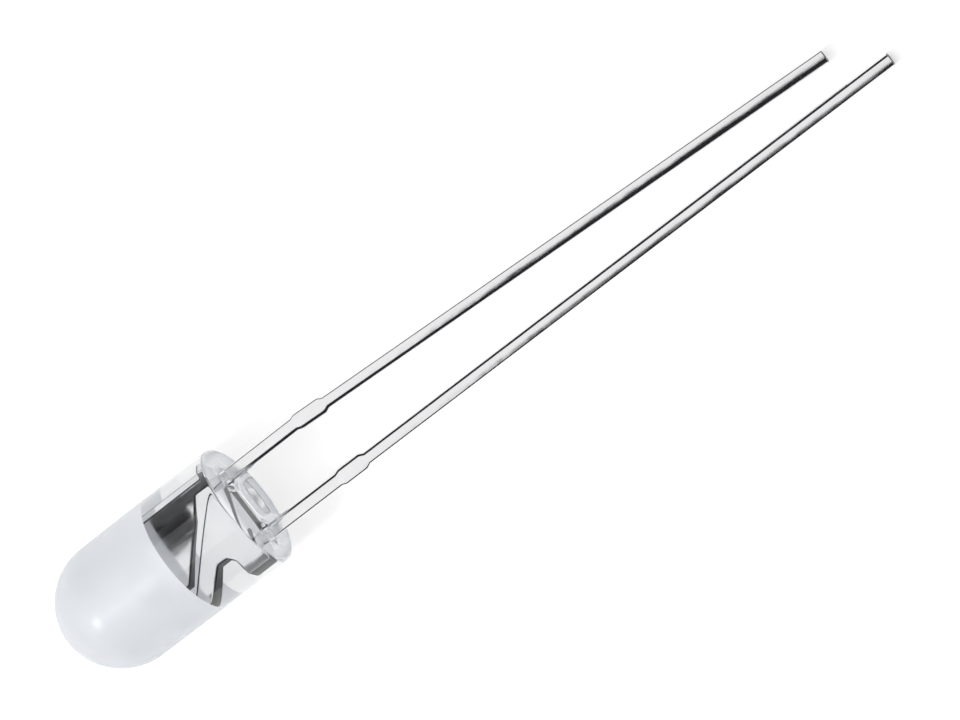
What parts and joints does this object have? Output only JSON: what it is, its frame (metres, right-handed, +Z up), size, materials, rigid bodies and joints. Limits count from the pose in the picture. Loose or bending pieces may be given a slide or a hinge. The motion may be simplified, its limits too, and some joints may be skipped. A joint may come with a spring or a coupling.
{
  "type": "through-hole led",
  "caption": "Round through-hole light-emitting diode: domed clear lens, frosted towards its tip, cast around a stamped lead frame with straight square leads.",
  "frame": {"origin": "centre of the lens's seating face, on the lens axis", "axes": "the part lies on its side as it comes to rest: the dome points to -X and is raised 4.59 degrees, the leads run to +X, the cathode is on the +Y side, +Z is up"},
  "size_m": [0.0365, 0.005, 0.0055],
  "materials": {
    "clear_epoxy": "water-clear cast epoxy, glossy near the seat and mould-etched to a fine frost from there to the dome",
    "plated_steel": "bright silver and tin plating on stamped steel",
    "chip": "polished semiconductor",
    "silver_adhesive": "matt silver-filled epoxy",
    "gold_wire": "bright drawn gold"
  },
  "bodies": {
    "root": {"lens": "clear_epoxy", "cathode_frame": "plated_steel", "anode_frame": "plated_steel", "led_die": "chip", "die_attach": "silver_adhesive", "bond_wire": "gold_wire"}
  },
  "joints": []
}
